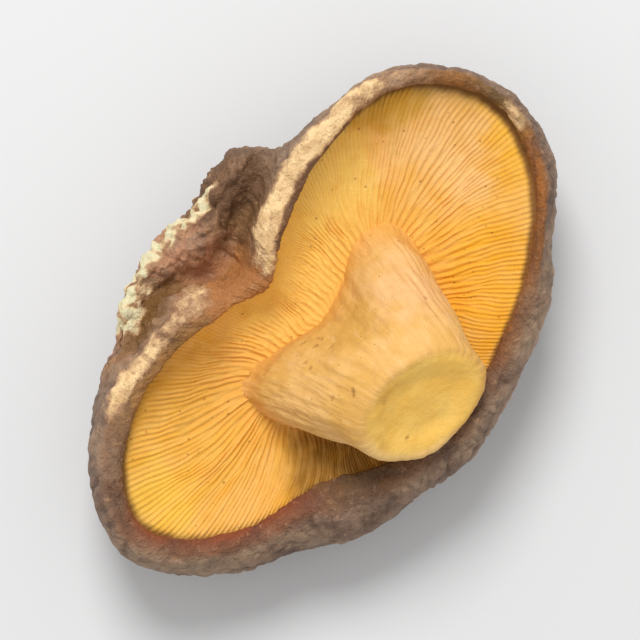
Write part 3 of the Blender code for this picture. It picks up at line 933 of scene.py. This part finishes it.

# %% [markdown]
# ## Finish of the skin
# The skin is brown leather with a mauve cast that grows down the wall. It is paler along its widest line,
# darkest in the creases, where the darkening is painted shade, and in the fold, which is darker brown with
# painted shade over it, warmer on the rolled rim, whose inner lip is darkened partly by painted shade, and
# cream where it is worn through to the flesh. The marks say where, and noise breaks up the edges of each
# colour so that none of them ends in a clean line.

# %% Brown skin
RIM_PATCHES = (
    ((24.0, -9.0, 15.0), 19.0, 1.00, (0.33, 0.115, 0.022), "rim"),  # orange-brown side of the large lobe
    ((28.0, 4.0, 14.0), 8.0, 0.60, (0.46, 0.25, 0.080), "rim"),
    ((24.4, 8.9, 14.5), 5.0, 0.75, (0.62, 0.39, 0.24), "rim"),  # pale end of the folded rim
    ((26.8, 5.6, 14.5), 4.5, 0.80, (0.30, 0.120, 0.028), "rim"),  # and brown beyond it
    ((29.0, -0.8, 14.5), 5.5, 0.80, (0.14, 0.082, 0.022), "rim"),  # painted shade of the groove at the tip
    ((27.4, -1.6, 14.6), 1.8, 0.90, (0.78, 0.50, 0.25), "rim"),  # light fleck in it
    ((-21.5, -6.5, 12.0), 16.0, 0.95, (0.27, 0.066, 0.022), "lip"),  # red lip of the small lobe
    ((-12.5, 10.5, 12.5), 12.0, 0.85, (0.42, 0.20, 0.055), "lip"),  # lip on the folded side
    ((-9.5, -12.0, 12.5), 6.5, 0.85, (0.13, 0.070, 0.024), "lip"),  # painted shadow of the stem on the lip
    ((8.5, -17.0, 11.5), 9.0, 0.75, (0.60, 0.36, 0.24), "dusty"),  # paler wall beside the stem's end
)
skin = Finish("dried_skin")
place = skin.place()
cloud = skin.grain(place, 5.5)
mottle = skin.grain(place, 0.9)
fine = skin.grain(place, 0.25)
upright = skin.node("VectorMath", {"operation": "MULTIPLY"}, {0: place, 1: (1.0, 1.0, 0.28)})
fibres = skin.between(skin.grain(upright, 0.8), 0.40, 0.66)
brown = skin.between(cloud, 0.36, 0.62)
skin.colour = skin.blend(brown, paint(0.210, 0.120, 0.076), paint(0.370, 0.238, 0.148))
# paler along the wall's widest line, less so in the creases
paling = skin.between(skin.grain(place, 2.4) + 0.5 * (mottle - 0.5), 0.40, 0.62)
paling = paling * skin.mark("dusty") * (1.0 - 0.8 * skin.mark("crease"))
skin.coat(paling * 0.45, 0.46, 0.37, 0.28)
height = skin.node("SeparateXYZ", {}, {"Vector": place}, "Z")
low_wall = 1.0 - skin.between(height + 3.0 * (cloud - 0.5), 6.8, 10.6)
mauve = skin.blend(skin.between(cloud, 0.38, 0.60), paint(0.128, 0.070, 0.060), paint(0.205, 0.122, 0.096))
skin.colour = skin.blend(low_wall * 0.90, skin.colour, mauve)
russet = skin.between(skin.grain(place, 3.6, 2.0), 0.52, 0.66) * low_wall
skin.coat(russet * 0.55, 0.27, 0.115, 0.060)
lighter = 1.0 - 0.6 * low_wall
skin.coat(fibres * lighter * 0.28, 0.42, 0.29, 0.20)
skin.coat(skin.between(mottle, 0.50, 0.80) * lighter * 0.35, 0.42, 0.32, 0.24)
rust = skin.mark("rim") * skin.between(skin.grain(place, 3.2), 0.35, 0.62)
skin.coat(rust * 0.55, 0.30, 0.125, 0.050)
# the inner lip is darker: partly its own brown, partly painted shade of the groove under the roll
skin.coat(skin.mark("lip") * 0.75, 0.17, 0.078, 0.032)
skin.patches(place, RIM_PATCHES)
print("brown skin:", len(RIM_PATCHES), "patches along the rim")

# %% Crust, fold and pale flesh
FOLD_PATCHES = (
    ((4.5, 17.1, 11.0), 7.0, 0.90, (0.15, 0.075, 0.036)),  # brown end of the crust
    ((-2.4, 14.9, 10.0), 5.0, 0.70, (0.56, 0.27, 0.150)),  # pink lumps in its middle
    ((-10.2, 14.8, 10.0), 4.5, 0.85, (0.17, 0.075, 0.015)),  # dark olive pit, own brown and painted shade
    ((-2.6, 9.0, 12.5), 6.5, 0.80, (0.49, 0.19, 0.052)),  # pink face of the ridge at the notch
)
tan = skin.mark("crust") * skin.between(skin.grain(place, 1.7), 0.36, 0.62)
skin.coat(tan * 0.90, 0.54, 0.28, 0.14)
# painted shade in the creases and between the leather's pads
skin.coat(skin.mark("crease") * 0.65, 0.080, 0.042, 0.028)
# the fold is darker: partly the skin's own brown, partly painted shade of the hollow
skin.coat(skin.between(skin.mark("hollow"), 0.15, 0.8) * 0.75, 0.23, 0.105, 0.025)
skin.patches(place, FOLD_PATCHES)
broken = skin.mark("pale") + 1.0 * (mottle - 0.5) + 0.4 * (fine - 0.5)
skin.coat(skin.between(broken, 0.05, 0.42) * 0.85, 0.48, 0.27, 0.14)
flesh_grain = skin.between(skin.grain(place, 1.3, 4.0), 0.30, 0.62)
flesh = skin.blend(flesh_grain, paint(0.66, 0.41, 0.19), paint(0.94, 0.65, 0.33))
flesh = skin.blend(skin.mark("chip") * 0.90, flesh, paint(0.77, 0.72, 0.46))
skin.colour = skin.blend(skin.between(broken, 0.24, 0.74), skin.colour, flesh)
skin.shade(0.84 + 0.32 * fine)
pads = skin.node("Math", {"operation": "ABSOLUTE"}, {0: skin.grain(place, 0.55, 2.0) - 0.5})
slopes = skin.bump(fine + mottle + 0.6 * fibres + 2.0 * pads, 0.00014)
skin.wear(leathery_cap, 0.46 + 0.35 * mottle, slopes, Specular_IOR_Level=0.3)

# %% [markdown]
# ## Finish of the stem
# The stem is peach-coloured and matt. Its fibres show as fine light and dark lines along it, its pits are
# brown, and the foot takes on the colour of the gills that run down to it. The cut face is yellower.
# Painted shade darkens the valley down its back, and its pink side towards the large lobe carries a painted
# highlight.

# %% Stem finish
STEM_PATCHES = (
    ((7.0, -4.2, 16.0), 6.5, 0.80, (0.87, 0.51, 0.23)),  # painted highlight on the pink side by the large lobe
    ((1.5, -2.3, 16.8), 4.5, 0.70, (0.66, 0.35, 0.070)),  # painted shade beside the valley
)
stem = Finish("dried_stem")
place = stem.place()
along_stem = stem.node("CombineXYZ", {}, {
    "X": stem.mark("around_x"), "Y": stem.mark("around_y"), "Z": stem.mark("along")})
thread = stem.grain(along_stem, 0.55)
side = 1.0 - stem.mark("cut")
patch = stem.between(stem.grain(place, 4.5, 2.0), 0.38, 0.62)
stem.colour = stem.blend(patch, paint(0.75, 0.41, 0.100), paint(0.82, 0.47, 0.155))
stem.patches(place, STEM_PATCHES)
# painted shade down the valley between the foot's two arms
valley_shade = stem.mark("valley") * stem.between(stem.grain(place, 2.6, 2.0), 0.2, 0.6)
stem.coat(valley_shade * 0.7, 0.70, 0.38, 0.075)
stem.coat(stem.between(stem.mark("fibre"), 0.48, 0.2) * 0.30, 0.62, 0.31, 0.08)
stem.coat(stem.between(thread, 0.52, 0.72) * side * 0.40, 0.60, 0.32, 0.085)
stem.coat(stem.between(thread, 0.46, 0.30) * side * 0.30, 0.90, 0.60, 0.28)
stem.coat(stem.mark("at_foot") * 0.55, 0.84, 0.43, 0.09)
cut_grain = stem.grain(place, 3.4)
cut_share = stem.between(cut_grain, 0.35, 0.65)
cut_colour = stem.blend(cut_share, paint(0.93, 0.53, 0.10), paint(0.96, 0.60, 0.14))
stem.colour = stem.blend(stem.mark("cut"), stem.colour, cut_colour)
stem.coat(stem.mark("edge") * 0.45, 0.92, 0.62, 0.26)
line = stem.mark("ring_line") * stem.between(stem.grain(place, 3.0, 2.0), 0.35, 0.60)
stem.coat(line * 0.55, 0.52, 0.25, 0.045)
stem.coat(stem.mark("pit") * 0.75, 0.36, 0.16, 0.04)
speck = stem.specks(place, 1.25, 0.17, 2.1, 0.46)
stem.coat(speck * (1.0 - 0.8 * stem.mark("cut")) * 0.6, 0.36, 0.17, 0.05)
fine = stem.grain(place, 0.2)
stem.shade(0.90 + 0.20 * fine)
slopes = stem.bump(0.5 * fine + thread * side, 0.00014)
stem.wear(fibrous_stem, 0.70 + 0.15 * cut_grain, slopes, Specular_IOR_Level=0.25)

# %% [markdown]
# ## The stage
# The mushroom lies on a plain pale floor, in one soft light from high up on the far side and a pale
# surround that fills the shadows. The camera looks straight down from well above with a long lens, turned
# so that the mushroom lies slantwise in the picture.

# %% Floor
FLOOR_SIDE = 3.0
floor_shape = bmesh.new()
bmesh.ops.create_grid(floor_shape, x_segments=1, y_segments=1, size=FLOOR_SIDE / 2)
floor_mesh = bpy.data.meshes.new("floor")
floor_shape.to_mesh(floor_mesh)
floor_shape.free()
floor = placed("floor", floor_mesh)
floor_finish = Finish("floor")
floor_finish.colour = paint(0.74, 0.74, 0.74)
floor_finish.wear(floor, 0.9)
print("floor side, m:", FLOOR_SIDE)

# %% Camera
PICTURE_TURN = radians(-52.4)  # the picture's upward direction, turned from +Y
PICTURE_SIDE = 0.0625  # how much of the mushroom's surroundings the picture takes in
AIM = Vector((-BOX_MIDDLE[0], -BOX_MIDDLE[1], 12.0)) * MM
CAMERA_LENS = 200.0
SENSOR = 36.0

picture_up = Vector((-sin(PICTURE_TURN), cos(PICTURE_TURN), 0.0))
picture_left = Vector((-picture_up.y, picture_up.x, 0.0))
camera_data = bpy.data.cameras.new("camera")
camera_data.lens = CAMERA_LENS
camera_data.sensor_width = SENSOR
camera = placed("camera", camera_data)
camera.location = AIM + Vector((0.0, 0.0, PICTURE_SIDE * CAMERA_LENS / SENSOR))
camera.rotation_euler = (0.0, 0.0, PICTURE_TURN)
bpy.context.scene.camera = camera
print("camera height, m:", round(camera.location.z, 3))

# %% Light
LIGHT_HEIGHT = radians(55)
LIGHT_TURN = radians(10)  # the light stands this far left of the picture's upward direction
LIGHT_AWAY = 0.60
LIGHT_SIDE = 0.26
LIGHT_POWER = 2.5
SURROUND = 0.62

lamp_data = bpy.data.lights.new("soft_light", "AREA")
lamp_data.shape = "DISK"
lamp_data.size = LIGHT_SIDE
lamp_data.energy = LIGHT_POWER
lamp = placed("soft_light", lamp_data)
towards = picture_up * cos(LIGHT_TURN) + picture_left * sin(LIGHT_TURN)
towards = towards * cos(LIGHT_HEIGHT) + Vector((0.0, 0.0, sin(LIGHT_HEIGHT)))
lamp.location = AIM + towards * LIGHT_AWAY
lamp.rotation_euler = (-towards).to_track_quat("-Z", "Y").to_euler()

surround = bpy.data.worlds.new("surround")
surround.use_nodes = True
background = surround.node_tree.nodes["Background"].inputs
background["Color"].default_value = paint(1.0, 1.0, 1.0)
background["Strength"].default_value = SURROUND
bpy.context.scene.world = surround
bpy.context.scene.view_settings.view_transform = "Standard"
print("light height, m:", round(lamp.location.z, 2))

# %% [markdown]
